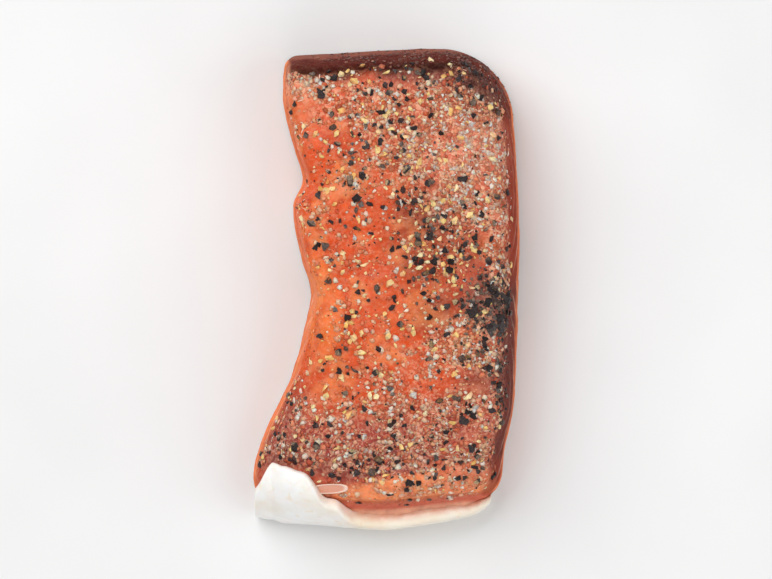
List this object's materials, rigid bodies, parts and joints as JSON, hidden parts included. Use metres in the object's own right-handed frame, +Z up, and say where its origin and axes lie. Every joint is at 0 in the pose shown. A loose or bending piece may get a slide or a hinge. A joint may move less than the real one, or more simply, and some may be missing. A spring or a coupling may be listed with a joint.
{
  "type": "peppered salmon fillet",
  "caption": "Raw salmon fillet portion with its skin, crusted on top with cracked black pepper and garlic, lying skin side down.",
  "frame": {"origin": "middle of the underside, on the surface that the fillet lies on", "axes": "+Z up through the peppered top; +Y along the fillet towards its thick back end; +X towards its straighter cut side"},
  "size_m": [0.0624, 0.1132, 0.0267],
  "materials": {
    "flesh": "wet raw salmon, orange to maroon, crusted with black pepper and pale garlic grains",
    "skin": "wet white belly fat, turning to silvery grey skin underneath"
  },
  "bodies": {
    "root": {"flesh": "flesh", "skin": "skin"}
  },
  "joints": []
}
